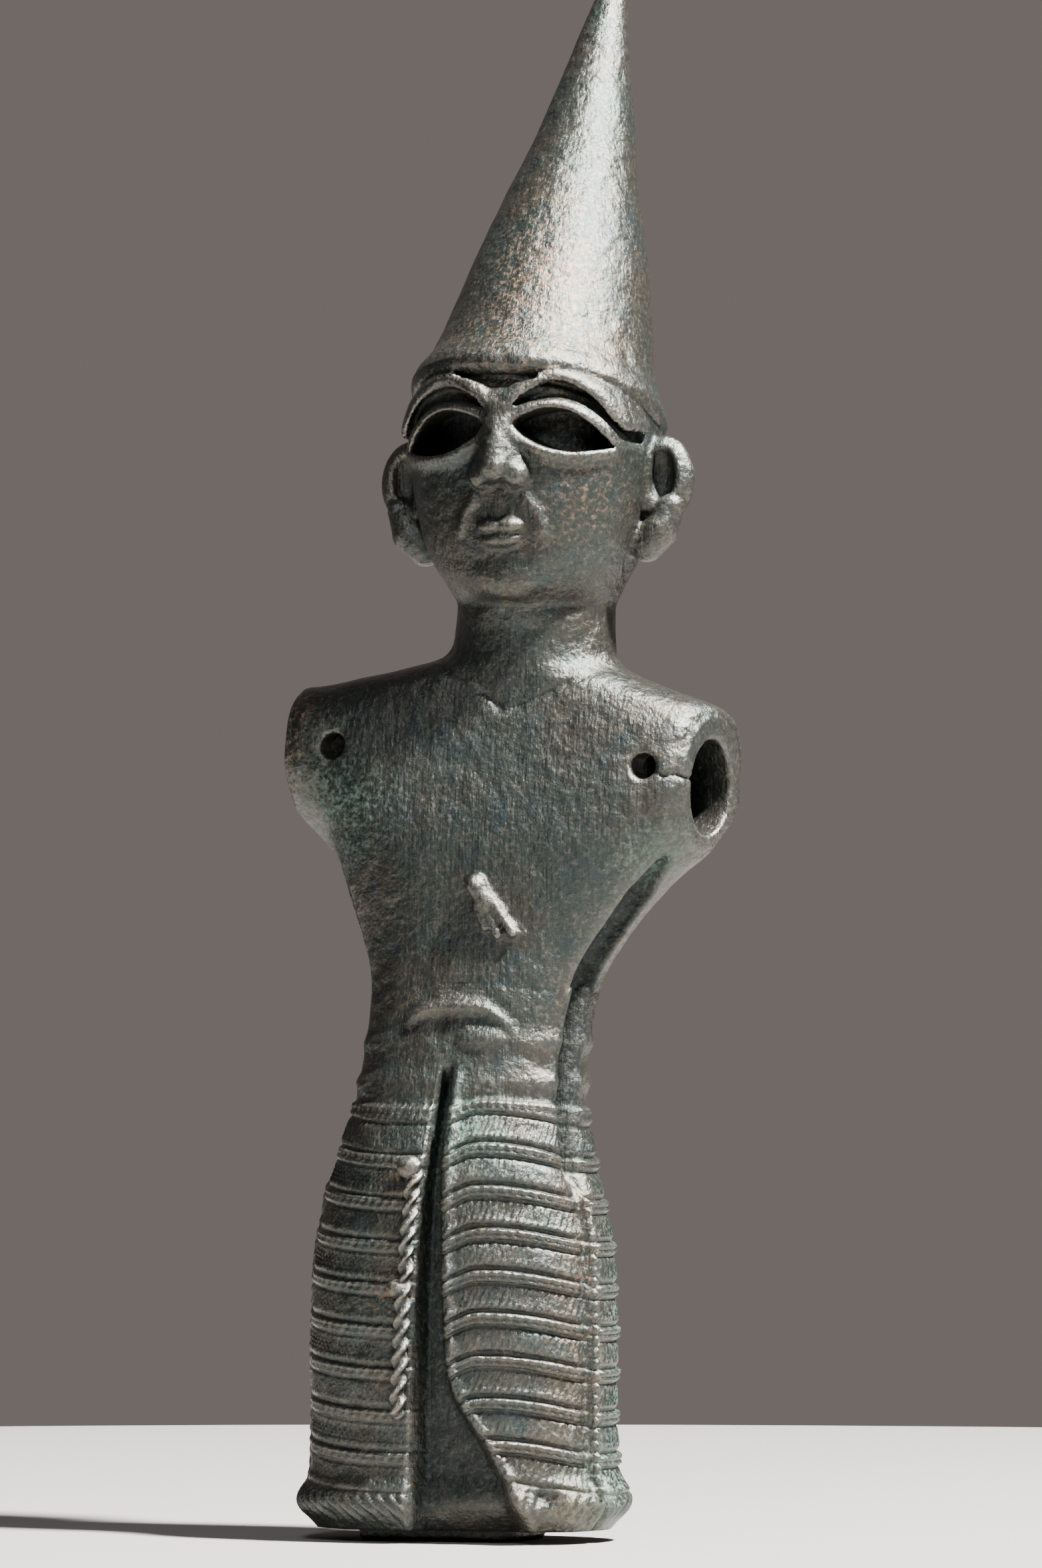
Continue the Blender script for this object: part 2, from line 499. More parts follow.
def lips_distance(side, y, z):
    """Distance from the two lips, the upper one parted in the middle."""
    upper_y = front_reach(HEAD_OUTLINE, 0.0, LIPS["upper"])
    lower_y = upper_y + LIPS["lower_inset"]
    half, reach, thick, bow = (LIPS[key] for key in ("half", "reach", "thick", "bow"))
    upper = ellipsoid(side, y, z, (bow, upper_y, LIPS["upper"]), (half - bow, reach, thick))
    lower = ellipsoid(side, y, z, (0.0, lower_y, LIPS["lower"]), (half * LIPS["lower_share"], reach, thick))
    return np.minimum(upper, lower)


def face_carving(skin, x, y, z):
    """The mask's brows, lids, hollow eyes, nose, lips and chin on the head's skin."""
    side = np.abs(x)
    behind = np.maximum(y - MASK["back"], 0.0) * MASK["fade"]
    gap, up = eye_gap(side, z)
    brow = line_gap(side, z, eased_line(BROW_LINE, BROW["parts"]))
    brow = np.sqrt(brow ** 2 + skin ** 2) - BROW["radius"] + behind
    lid_radius = LID["radius"] + LID["upper"] * smooth_step(up, *LID["upper_from"])
    lid = np.sqrt((gap - LID["outset"]) ** 2 + (skin - LID["raise"]) ** 2) - lid_radius + behind
    lid_fillet = FILLETS["lid"] + FILLETS["lower_lid"] * smooth_step(-up, *LID["lower_from"])
    fold = np.sqrt((gap - LID_FOLD["outset"]) ** 2 + skin ** 2) - LID_FOLD["radius"] + behind
    fold = fold + LID_FOLD["fade"] * smooth_step(-up, *LID_FOLD["ends"])
    hollow = np.maximum(gap + behind, -(skin + EYE["depth"]))
    smile = line_gap(side, z, eased_line(SMILE_LINE, SMILE["parts"]))
    smile = np.sqrt(smile ** 2 + skin ** 2) - SMILE["radius"] + behind
    chin_y = front_reach(HEAD_OUTLINE, 0.0, CHIN["z"]) + CHIN["inset"]
    chin = ellipsoid(side, y, z, (0.0, chin_y, CHIN["z"]), (CHIN["half"], CHIN["reach"], CHIN["high"]))

    face = smooth_union(skin, brow, FILLETS["brow"])
    face = smooth_cut(face, fold, FILLETS["lid_fold"])
    face = smooth_union(face, lid, lid_fillet)
    face = smooth_cut(face, hollow, FILLETS["eye"])
    face = smooth_union(face, nose_distance(side, y, z), FILLETS["nose"])
    face = smooth_cut(face, face_ball(side, y, z, NOSTRIL), FILLETS["nostril"])
    face = smooth_union(face, smile, FILLETS["smile"])
    face = smooth_union(face, lips_distance(side, y, z), FILLETS["lips"])
    return smooth_union(face, chin, FILLETS["chin"])


def egg(x, y, z, form):
    """Distance from an egg-shaped form given by its middle and half sizes."""
    middle = [form[key] for key in ("x", "y", "z")]
    return ellipsoid(x, y, z, middle, [form[key] for key in ("half_x", "half_y", "half_z")])


def ear_distance(x, y, z):
    """Distance from the ears, with a bowl inside the rim and a thick lobe."""
    side = np.abs(x)
    ear = smooth_cut(egg(side, y, z, EAR), egg(side, y, z, EAR_BOWL), FILLETS["ear_bowl"])
    ear = smooth_union(ear, bar(side, y, z, EAR_RIDGE, EAR_RIDGE_RADII), FILLETS["ear_ridge"])
    return smooth_union(ear, bar(side, y, z, EAR_LOBE, EAR_LOBE_RADII), FILLETS["ear_lobe"])


def arch_lift(angle):
    """How far the belt's rolls rise at an angle round the waist."""
    return BELT["arch"] * np.exp(-(np.degrees(angle) / BELT["arch_angle"]) ** 2)


def side_channel(x, y, z):
    """Distance from the channels that run from the armpits down to the hips."""
    line = []
    for height in np.linspace(SIDE["hip"], SIDE["armpit"], SIDE["parts"]):
        at = outline_point(BODY_OUTLINE, np.radians(SIDE["angle"]), np.array(height), -SIDE["sink"])
        line.append((float(at[0]), float(at[1]), height))
    radii = [SIDE["half"]] * (SIDE["parts"] - 1) + [SIDE["armpit_half"]]
    return bar(np.abs(x), y, z, line, radii) + (1.0 - SIDE["right"]) * (x < 0)


def torso_distance(x, y, z, places, frames):
    """Distance from the chest, neck and shoulders with their open ends."""
    body = outline_distance(BODY_OUTLINE, x, y, z)
    level = z - arch_lift(np.arctan2(x, -y))
    start, end = BELT["under"]
    body = body + BELT["inset"] * (1.0 - smooth_step(level, BELT["top"] + start, BELT["top"] + end))
    side = np.abs(x)
    body = smooth_cut(body, side_channel(x, y, z), FILLETS["side"])
    for socket, (share, swell) in zip(frames, SOCKET_RIMS):
        out, across, up = socket_place(places, *socket)
        body = smooth_cut(body, -out, FILLETS["socket_rim"])
        radius = np.interp(out, SHOULDER_END[:, 1], SHOULDER_END[:, 0])
        low = radius * share + swell * np.clip(-out, 0.0, -SHOULDER_END[0, 1])
        end = np.hypot(across / SHOULDER_DEPTH, up * np.where(up < 0, radius / low, 1.0)) - radius
        end = np.maximum(np.maximum(end * SHOULDER_STEEP, out), SHOULDER_END[0, 1] - out)
        body = smooth_union(body, end, FILLETS["shoulder"])
    for start, end, radius in HILT:
        points = [(at, float(front_reach(BODY_OUTLINE, at, height)) - HILT_RAISE, height)
                  for at, height in (start, end)]
        body = smooth_union(body, bar(x, y, z, points, (radius, radius * HILT_TAPER)), FILLETS["hilt"])
    neckline = np.abs(z - NECKLINE["front"] - NECKLINE["rise"] * side) * NECKLINE["steep"]
    neckline = np.sqrt(neckline ** 2 + body ** 2) - NECKLINE["radius"]
    neckline = neckline + np.maximum(y - NECKLINE["back"], 0.0) + np.maximum(side - NECKLINE["reach"], 0.0)
    return smooth_cut(body, neckline, FILLETS["neckline"])


def head_distance(x, y, z):
    """Distance from the head with its face and ears, without the cap."""
    skin = outline_distance(HEAD_OUTLINE, x, y, z)
    head = face_carving(skin, x, y, z)
    head = smooth_cut(head, z - HEAD_OUTLINE[0, 0], FILLETS["jaw"])
    head = np.maximum(head, z - HEAD_OUTLINE[-1, 0])
    head = smooth_cut(head, brim_gap(x, y, z), FILLETS["brim_gap"])
    return smooth_union(head, ear_distance(x, y, z), FILLETS["ear"])


def with_shoulder_holes(metal, x, y, z, places, frames):
    """The metal's distance with the arm sockets, the rivet holes and the crack cut in."""
    for socket, rivet in zip(frames, RIVET["places"]):
        out, across, up = socket_place(places, *socket)
        bore = np.hypot(across / BORE["half_width"], up / BORE["half_height"]) - 1.0
        bore = np.maximum(bore * BORE["half_width"], -out - BORE["depth"])
        metal = smooth_cut(metal, bore, FILLETS["bore"])
        pin = posed(rivet, 0.0, RIVET["z"])
        hole = np.hypot(places[0] - pin[0], places[2] - pin[2]) - RIVET["radius"]
        metal = smooth_cut(metal, hole, FILLETS["rivet"])
    crack = line_gap(x, z, CRACK_LINE) + np.maximum(y, 0.0)
    crack = np.sqrt(crack ** 2 + np.minimum(metal, 0.0) ** 2 * CRACK["deep"]) - CRACK["radius"]
    return smooth_cut(metal, crack, FILLETS["crack"])


def upper_distance(x, y, z):
    """Distance from everything above the belt, below zero inside the metal."""
    places = posed(x, y, z)
    frames = [socket_frame(socket) for socket in SOCKETS]
    has_torso = np.min(z) < BODY_OUTLINE[-1, 0]
    metal = np.full(np.broadcast(x, y, z).shape, FAR)
    if has_torso:
        neck_end = z - (BODY_OUTLINE[-1, 0] - NECK["cut"])
        metal = np.maximum(torso_distance(x, y, z, places, frames), neck_end)
    if np.max(z) > HEAD_OUTLINE[0, 0] - NECK["overlap"]:
        throat = FILLETS["head"] + FILLETS["throat"] * (1.0 - smooth_step(z, *NECK["throat"]))
        metal = smooth_union(metal, head_distance(x, y, z), throat)
        metal = smooth_union(metal, cap_distance(x, y, z), FILLETS["cap"])
    if has_torso:
        metal = with_shoulder_holes(metal, x, y, z, places, frames)
    return np.maximum(metal, GRID_LEVELS[0][0] + GRID["floor"] - z)


def surface_net(values, axes):
    """Quads over the zero level of a grid of distances, one point in each crossed cell."""
    inside = values < 0.0
    spans = [slice(0, -1), slice(1, None)]
    count = sum(inside[i, j, k].astype(np.int8) for i in spans for j in spans for k in spans)
    cells = np.argwhere((count > 0) & (count < 8))
    index = np.full(count.shape, -1, dtype=np.int64)
    index[tuple(cells.T)] = np.arange(len(cells))
    points = np.column_stack([(axis[c] + axis[c + 1]) * 0.5 for axis, c in zip(axes, cells.T)])
    quads = []
    for direction in range(3):
        u, v = (direction + 1) % 3, (direction + 2) % 3
        near, far = [slice(None)] * 3, [slice(None)] * 3
        near[direction], far[direction] = slice(0, -1), slice(1, None)
        start, end = inside[tuple(near)], inside[tuple(far)]
        for crossing, turned in ((start & ~end, False), (end & ~start, True)):
            at = np.argwhere(crossing)
            corners = []
            for du, dv in ((-1, -1), (0, -1), (0, 0), (-1, 0)):
                cell = at.copy()
                cell[:, u] += du
                cell[:, v] += dv
                corners.append(index[tuple(cell.T)])
            quads.append(np.column_stack(corners[::-1] if turned else corners))
    return points, np.vstack(quads)


def neighbour_mean(points, edges):
    """The mean of each point's neighbours along the mesh's edges."""
    count = np.bincount(edges.ravel(), minlength=len(points)).astype(float)
    count = np.maximum(count, 1.0)
    total = np.empty_like(points)
    for column in range(points.shape[1]):
        one = np.bincount(edges[:, 0], weights=points[edges[:, 1], column], minlength=len(points))
        other = np.bincount(edges[:, 1], weights=points[edges[:, 0], column], minlength=len(points))
        total[:, column] = (one + other) / count
    return total


def settle(points, edges):
    """Evens the net's points and lays them on the true skin."""
    nudge = SETTLE["nudge"]
    for _ in range(SETTLE["rounds"]):
        points = points + SETTLE["even"] * (neighbour_mean(points, edges) - points)
        for _ in range(SETTLE["steps"]):
            here = upper_distance(*points.T)
            changes = [upper_distance(*(points + step).T) - here for step in np.eye(3) * nudge]
            slope = np.column_stack(changes) / nudge
            steep = np.maximum(np.sum(slope * slope, axis=1), SETTLE["least_slope"])
            move = -slope * (here / steep)[:, None]
            size = np.maximum(np.linalg.norm(move, axis=1), TINY)
            points = points + move * np.minimum(1.0, SETTLE["most"] / size)[:, None]
    return points


def upper_body():
    """Points and quads of the chest, head and cap."""
    x, y = (np.arange(*GRID[key], GRID["step"]) for key in ("x", "y"))
    levels = [np.arange(low, high, step) for low, high, step in GRID_LEVELS]
    slabs = [upper_distance(x[:, None, None], y[None, :, None], level[None, None, :]) for level in levels]
    points, quads = surface_net(np.concatenate(slabs, axis=2), (x, y, np.concatenate(levels)))
    sides = np.vstack([quads[:, [0, 1]], quads[:, [1, 2]], quads[:, [2, 3]], quads[:, [3, 0]]])
    edges = np.unique(np.sort(sides, axis=1), axis=0)
    return settle(points, edges), quads


def wrap_dip(angle):
    """How far the skirt's tiers droop towards the opening and the hips."""
    turn = np.degrees(angle)
    right, left = smooth_step(turn, *WRAP_DIP["right_fall"]), 1.0 - smooth_step(turn, *WRAP_DIP["left_rise"])
    opening = np.where(turn < 0, right, left)
    hip = smooth_step(turn, *WRAP_DIP["hip_fall"]) * (1.0 - smooth_step(turn, *WRAP_DIP["hip_rise"]))
    return WRAP_DIP["opening"] * opening + WRAP_DIP["hip"] * hip


def skirt_columns():
    """Angles round the skirt, close together in front, and the girth from the front at each."""
    turn = np.linspace(-np.pi, np.pi, SKIRT_STEP["samples"])
    x, y = outline_point(BODY_OUTLINE, turn, np.full_like(turn, SKIRT_STEP["level"]), 0.0)
    step = np.hypot(np.diff(x), np.diff(y))
    girth = np.concatenate([[0.0], np.cumsum(step)])
    girth = girth - girth[len(girth) // 2]
    start, end = SKIRT_STEP["angle"] - SKIRT_STEP["blend"], SKIRT_STEP["angle"] + SKIRT_STEP["blend"]
    behind = smooth_step(np.abs(np.degrees(turn)), start, end)
    spacing = SKIRT_STEP["front"] + (SKIRT_STEP["back"] - SKIRT_STEP["front"]) * behind
    count = np.concatenate([[0.0], np.cumsum(step / spacing[1:])])
    picks = np.linspace(0.0, count[-1], int(round(count[-1])) + 1)[:-1]
    return np.interp(picks, count, turn), np.interp(picks, count, girth)


def skirt_rows():
    """Heights of the lower body's rings."""
    bottom, pitch = TIERS["bottom"], TIERS["pitch"]
    hem = np.linspace(HEM_ROWS["from"], bottom - HEM_ROWS["below_tiers"], HEM_ROWS["count"])
    tiers = [bottom + pitch * (tier + share) for tier in range(TIERS["count"]) for share in TIER_ROWS]
    top = bottom + pitch * TIERS["count"]
    belt = np.linspace(top, BELT["top"] + BELT_ROWS["past_top"], BELT_ROWS["count"])
    return np.concatenate([HEM_ROWS["foot"], hem, tiers, belt])


def tier_relief(girth, level, behind, hand, sizes):
    """Relief of the skirt's tiers: lips, hatched bands and cords."""
    tier_level = (level - TIERS["bottom"]) / TIERS["pitch"]
    tier = np.floor(tier_level)
    share = tier_level - tier
    start, end = TIERS["fade_out"]
    on_tiers = smooth_step(tier_level, *TIERS["fade_in"])
    on_tiers = on_tiers * (1.0 - smooth_step(tier_level, TIERS["count"] + start, TIERS["count"] + end))
    profile = np.interp(share, TIER_PROFILE[:, 0], TIER_PROFILE[:, 1])
    proud = TIERS["right_share"] + (1.0 - TIERS["right_share"]) * smooth_step(girth, *TIERS["left_from"])

    pitch = np.where(behind, sizes.hatch_pitch * HATCH["back"], sizes.hatch_pitch) / MM
    middle = (tier + HATCH["middle"]) * TIERS["pitch"] + TIERS["bottom"]
    phase = (girth + hand * HATCH["slant"] * (level - middle)) / pitch
    stroke = 0.5 + 0.5 * np.cos(2.0 * np.pi * phase)
    band = smooth_step(share, BAND["from"], BAND["from"] + BAND["edge"])
    band = band * (1.0 - smooth_step(share, BAND["to"] - BAND["edge"], BAND["to"]))
    chased = np.where((tier + (girth >= 0)) % 2 == 1, 1.0, HATCH["shallow"])
    carved = profile * proud - sizes.hatch_depth / MM * stroke * band * chased

    twist = np.cos(2.0 * np.pi * (girth - hand * TIER_CORDS["lean"] * level) / TIER_CORDS["pitch"])
    cords = smooth_step(share, *TIER_CORDS["from"]) * (1.0 - smooth_step(share, *TIER_CORDS["to"]))
    return (carved + TIER_CORDS["relief"] * twist * cords) * on_tiers


def opening_shares(level, x, in_front):
    """How open the skirt is, and how near the raised edge of its flap is, at places in front."""
    down = np.clip((OPENING["top"] - level) / (OPENING["top"] - OPENING["foot"]), 0.0, 1.0)
    half = OPENING["top_half"] + (OPENING["hem_half"] - OPENING["top_half"]) * down
    swing = 1.0 - smooth_step(level, OPENING["swing_foot"], OPENING["swing_top"])
    edge = half + OPENING["swing"] * swing ** OPENING["swing_bend"]
    start, end = OPENING["top_fade"]
    below = (1.0 - smooth_step(level, OPENING["top"] + start, OPENING["top"] + end)) * in_front
    right = smooth_step(x, -half, -OPENING["right_slope"] * half)
    left = 1.0 - smooth_step(x, edge - OPENING["left_slope"], edge)
    flap = np.exp(-((x - edge - OPENING["flap_off"]) / OPENING["flap_half"]) ** 2)
    return right * left * below, flap * below


def fringe_relief(girth, level, behind, hand):
    """Relief of the slanting strands of the fringe along the hem."""
    bottom, top = FRINGE["bottom"], FRINGE["top"]
    on_fringe = smooth_step(level, bottom, bottom + FRINGE["bottom_fade"])
    on_fringe = on_fringe * (1.0 - smooth_step(level, top - FRINGE["top_fade"], top))
    along = girth + hand * FRINGE["lean"] * (level - FRINGE["middle"])
    strand = np.cos(2.0 * np.pi * along / np.where(behind, FRINGE["back"], 1.0) / FRINGE["pitch"])
    return FRINGE["depth"] * (0.5 * strand) * on_fringe * np.where(girth > 0, FRINGE["left_share"], 1.0)


def with_belt(lift, angle, girth, level, x, in_front):
    """The skin's lift with the belt's rolls, crescent, knot and cloth folds added."""
    turn = np.degrees(angle)
    rolls = sum(share * np.exp(-((level - roll) / BELT["half"]) ** 2)
                for roll, share in zip(BELT["rolls"], BELT["shares"]))
    plain = np.exp(-(turn / BELT["plain_angle"]) ** 2)
    lift = lift + BELT["relief"] * rolls * (1.0 - BELT["plain"] * plain)
    off = turn / CRESCENT["angle"]
    crest = (level - CRESCENT["level"] + CRESCENT["bow"] * off ** 2) / CRESCENT["half"]
    lift = lift + CRESCENT["relief"] * np.exp(-crest ** 2 - off ** 4)
    across, up = (x - BELT_KNOT["x"]) / BELT_KNOT["half_x"], (level - BELT_KNOT["z"]) / BELT_KNOT["half_z"]
    knot = np.clip(1.0 - (across ** 2 + up ** 2), 0.0, 1.0) ** BELT_KNOT["round"]
    lift = lift + BELT_KNOT["relief"] * knot * in_front
    for fold in BELT_FOLDS:
        gap = line_gap(girth, level, eased_line(fold, BELT_FOLD["parts"]))
        lift = lift - BELT_FOLD["depth"] * np.exp(-(gap / BELT_FOLD["half"]) ** 2)
    return lift


def with_sides(lift, angle, level):
    """The skin's lift with the channel and the twisted edge at each side added."""
    off_side = np.degrees(np.abs(angle)) - SIDE["angle"]
    seam = np.exp(-(off_side / SIDE["seam_half"]) ** 2)
    start, end = SIDE["hip_fade"]
    above = smooth_step(level, SIDE["hip"] + start, SIDE["hip"] + end)
    foot, fade = SELVAGE["foot"], SELVAGE["foot_fade"]
    ridge = np.exp(-((off_side - SELVAGE["off"]) / SELVAGE["half"]) ** 2)
    ridge = ridge * smooth_step(level, foot - fade, foot + fade)
    ridge_gap = np.exp(-((off_side - SELVAGE["gap_off"]) / SELVAGE["gap_half"]) ** 2)
    twist = 1.0 + SELVAGE["twist"] * np.cos(2.0 * np.pi * level / SELVAGE["twist_pitch"])
    groove = SIDE["groove"] * np.where(angle > 0, 1.0, SIDE["right"])
    lift = lift * (1.0 - SIDE["smooth"] * seam) - groove * seam * above
    edge = SELVAGE["relief"] * twist * ridge - SELVAGE["gap"] * ridge_gap
    return lift + edge * (1.0 - above) * np.where(angle > 0, 1.0, SELVAGE["right"])


def skirt_relief(angle, girth, level, x, sizes):
    """Lift of the lower body's skin: tiers, opening, fringe, belt, side seams and pits in the hem."""
    # strokes slant one way on the figure's left half and the other way on its right
    hand = np.where(girth >= 0, -1.0, 1.0)
    behind = np.abs(np.degrees(angle)) > SKIRT_STEP["angle"]
    in_front = np.abs(angle) < FRONT_TURN
    opened, flap = opening_shares(level, x, in_front)
    lift = tier_relief(girth, level, behind, hand, sizes)
    lift = lift * (1.0 - opened) - OPENING["depth"] * opened + OPENING["flap"] * flap
    lift = lift + fringe_relief(girth, level, behind, hand) * (1.0 - opened)
    lift = with_belt(lift, angle, girth, level, x, in_front)
    lift = with_sides(lift, angle, level)
    for place, height, radius, depth in HEM_PITS:
        lift = lift - depth * np.exp(-((girth - place) ** 2 + (level - height) ** 2) / radius ** 2)
    return lift


def tier_end_drop(level, angle, x, held):
    """How far the tiers' ends droop beside the opening's left edge."""
    down = np.clip((OPENING["top"] - level) / OPENING["top"], 0.0, 1.0)
    drop = TIER_ENDS["drop"] + TIER_ENDS["low_drop"] * down ** TIER_ENDS["bend"]
    drop = drop * held * (x > 0) * (np.abs(angle) < FRONT_TURN)
    return drop * np.exp(-np.maximum(x - TIER_ENDS["from"], 0.0) / TIER_ENDS["reach"])


def ring_quads(count, sides):
    """Faces between rings of points that run upwards."""
    around = np.arange(sides)
    beside = (around + 1) % sides
    corners = np.column_stack([around, beside, sides + beside, sides + around])
    return np.vstack([ring * sides + corners for ring in range(count - 1)])


def lower_body(sizes):
    """Points, ring faces and end faces of the skirt and belt as a closed mesh."""
    angle, girth = skirt_columns()
    rows = skirt_rows()
    dip = wrap_dip(angle)
    inset_from, inset_to = BELT["top"] - BELT["inset_half"], BELT["top"] + BELT["inset_half"]
    rings = []
    for level in rows:
        held = smooth_step(level, *DROOP["foot"]) * (1.0 - smooth_step(level, *DROOP["waist"]))
        waist = smooth_step(level, *BELT["arch_from"])
        x, _ = outline_point(BODY_OUTLINE, angle, np.full_like(angle, level), 0.0)
        height = level - dip * held - tier_end_drop(level, angle, x, held) + arch_lift(angle) * waist
        lift = skirt_relief(angle, girth, np.full_like(angle, level), x, sizes)
        lift = lift - BELT["inset"] * smooth_step(level, inset_from, inset_to)
        x, y = outline_point(BODY_OUTLINE, angle, height, lift)
        rings.append(np.column_stack([x, y, height]))
    columns = len(angle)
    points = np.vstack(rings + [[(0.0, 0.0, rows[0])], [(0.0, 0.0, rows[-1])]])
    around = np.arange(columns)
    beside = (around + 1) % columns
    bottom, top = len(points) - 2, len(points) - 1
    last = (len(rows) - 1) * columns
    caps = np.vstack([np.column_stack([beside, around, np.full(columns, bottom)]),
                      np.column_stack([last + around, last + beside, np.full(columns, top)])])
    return points, ring_quads(len(rows), columns), caps


def rope_points(line, radius, lay, sides):
    """Rings of points round a line, in the form of a rope of two strands."""
    rings = []
    lengths = np.concatenate([[0.0], np.cumsum(np.linalg.norm(np.diff(line, axis=0), axis=1))])
    turn = np.linspace(0.0, 2.0 * np.pi, sides, endpoint=False)
    for point, length in zip(line, lengths):
        taper = min(1.0, CORD["end_share"] + min(length, lengths[-1] - length) / radius)
        swell = 1.0 + CORD["swell"] * np.cos(2.0 * (turn - np.pi * length / lay))
        off = radius * taper * swell
        rings.append(np.column_stack([point[0] + off * np.cos(turn), point[1] + off * np.sin(turn),
                                      np.full(sides, point[2])]))
    return rings


def ring_mesh(name, rings):
    """A closed mesh object through rings of points that run upwards."""
    count, sides = len(rings), len(rings[0])
    ends = [list(range(sides))[::-1], list(range((count - 1) * sides, count * sides))]
    return mesh_object(name, np.vstack(rings), ring_quads(count, sides).tolist() + ends)


def mesh_object(name, points, faces):
    """A mesh object made of points and faces."""
    mesh = bpy.data.meshes.new(name)
    mesh.from_pydata(points.tolist(), [], faces)
    mesh.update()
    piece = bpy.data.objects.new(name, mesh)
    bpy.context.scene.collection.objects.link(piece)
    return piece


def bake_modifiers(piece):
    """Makes a piece's modifiers part of its mesh."""
    graph = bpy.context.evaluated_depsgraph_get()
    fresh = bpy.data.meshes.new_from_object(piece.evaluated_get(graph), depsgraph=graph)
    old = piece.data
    piece.modifiers.clear()
    piece.data = fresh
    bpy.data.meshes.remove(old)


def weld(piece, others):
    """Joins closed forms into one skin and removes the loose ones."""
    for other in others:
        join = piece.modifiers.new("join", "BOOLEAN")
        join.operation = "UNION"
        join.solver = "MANIFOLD"
        join.object = other
        bake_modifiers(piece)
        bpy.data.objects.remove(other)
    if len(piece.data.polygons) == 0:
        raise RuntimeError("the figurine's forms did not join")


def cord_x(level):
    """How far sideways the cord is at a height."""
    share = (level - CORD["bottom"]) / (CORD["top"] - CORD["bottom"])
    return CORD["bottom_x"] + (CORD["top_x"] - CORD["bottom_x"]) * share


def cord_form():
    """The twisted cord beside the skirt's opening."""
    level = np.linspace(CORD["bottom"], CORD["top"], CORD["rings"])
    x = cord_x(level)
    line = np.column_stack([x, front_reach(BODY_OUTLINE, x, level) - CORD["raise"], level])
    return ring_mesh("cord", rope_points(line, CORD["radius"], CORD["lay"], CORD["sides"]))


def knot_form(level, radius):
    """A small knot on the cord."""
    x = cord_x(level) - KNOT["off"]
    y = float(front_reach(BODY_OUTLINE, x, level)) - KNOT["raise"]
    turn = np.linspace(0.0, 2.0 * np.pi, KNOT["sides"], endpoint=False)
    rings = []
    for tilt in np.linspace(-KNOT["pole"] * np.pi, KNOT["pole"] * np.pi, KNOT["rings"]):
        rings.append(np.column_stack([x + radius * KNOT["wide"] * math.cos(tilt) * np.cos(turn),
                                      y + radius * KNOT["deep"] * math.cos(tilt) * np.sin(turn),
                                      np.full(len(turn), level + radius * math.sin(tilt))]))
    return ring_mesh("knot", rings)


def stub_form():
    """The stub of metal left under the hem."""
    turn = np.linspace(0.0, 2.0 * np.pi, STUB["sides"], endpoint=False)
    power = 2.0 / STUB["square"]
    rings = []
    for height in np.linspace(0.0, STUB["height"] + STUB["into"], STUB["rings"]):
        inset = STUB["bevel"] * max(0.0, 1.0 - height / STUB["bevel_height"])
        x = (STUB["width"] / 2.0 - inset) * np.sign(np.cos(turn)) * np.abs(np.cos(turn)) ** power
        y = (STUB["depth"] / 2.0 - inset) * np.sign(np.sin(turn)) * np.abs(np.sin(turn)) ** power
        rings.append(np.column_stack([x - AXIS[0], y - AXIS[1], np.full(len(turn), height)]))
    return ring_mesh("stub", rings)


def read_rows(items, key, width, kind=float):
    """One value of each of a mesh's points or edges, as rows of numbers."""
    flat = np.empty(len(items) * width, dtype=kind)
    items.foreach_get(key, flat)
    return flat.reshape(-1, width)


def weathered(mesh):
    """Points of a mesh with the casting's lumps and small dents pressed in."""
    points, normals = read_rows(mesh.vertices, "co", 3), read_rows(mesh.vertices, "normal", 3)
    lift = sum(depth * lattice_noise(points, width, seed) for width, depth, seed in LUMPS)
    chance = np.random.default_rng(DENTS["seed"])
    for _ in range(DENTS["count"]):
        middle = points[chance.integers(len(points))]
        radius, depth = chance.uniform(*DENTS["radius"]), chance.uniform(*DENTS["depth"])
        away = np.sum((points - middle) ** 2, axis=1)
        lift = lift - depth * np.exp(-away / radius ** 2)
    lift = lift * smooth_step(points[:, 2], *UNEVEN_FROM)
    return points + normals * lift[:, None]


def set_values(mesh, name, values):
    """Stores one number at each of a mesh's points."""
    layer = mesh.attributes.new(name, "FLOAT", "POINT")
    layer.data.foreach_set("value", np.asarray(values, dtype=np.float32))


def blob(points, middle, radii):
    """1 in the middle of an egg-shaped place, fading to 0 away from it."""
    return np.exp(-np.sum(((points - np.array(middle)) / np.array(radii)) ** 2, axis=1))


def deep_places(points):
    """1 at points deep inside the eyes and arm sockets, a little less in side channels and the opening."""
    x, y, z = points.T
    skin = outline_distance(HEAD_OUTLINE, x, y, z)
    gap, _ = eye_gap(np.abs(x), z)
    deep = smooth_step(-skin, *DARK_EYE["depth"]) * (gap < DARK_EYE["past_rim"]) * (y < 0)
    channel = 1.0 - smooth_step(side_channel(x, y, z), *DARK_SIDE["depth"])
    deep = np.maximum(deep, DARK_SIDE["share"] * channel * (z > SIDE["hip"]))
    sunk = smooth_step(-outline_distance(BODY_OUTLINE, x, y, z), *DARK_OPENING["depth"])
    in_opening = (y < DARK_OPENING["back"]) * (z > DARK_OPENING["foot"])
    in_opening = in_opening * (z < OPENING["top"] + DARK_OPENING["past_top"])
    deep = np.maximum(deep, DARK_OPENING["share"] * sunk * in_opening)
    for socket in SOCKETS:
        out, across, up = socket_place(posed(x, y, z), *socket_frame(socket))
        bore = np.hypot(across / BORE["half_width"], up / BORE["half_height"])
        in_bore = (bore < DARK_BORE["wide"]) * (out > -BORE["depth"] - DARK_BORE["past_end"])
        deep = np.maximum(deep, smooth_step(-out, *DARK_BORE["depth"]) * in_bore)
    return deep


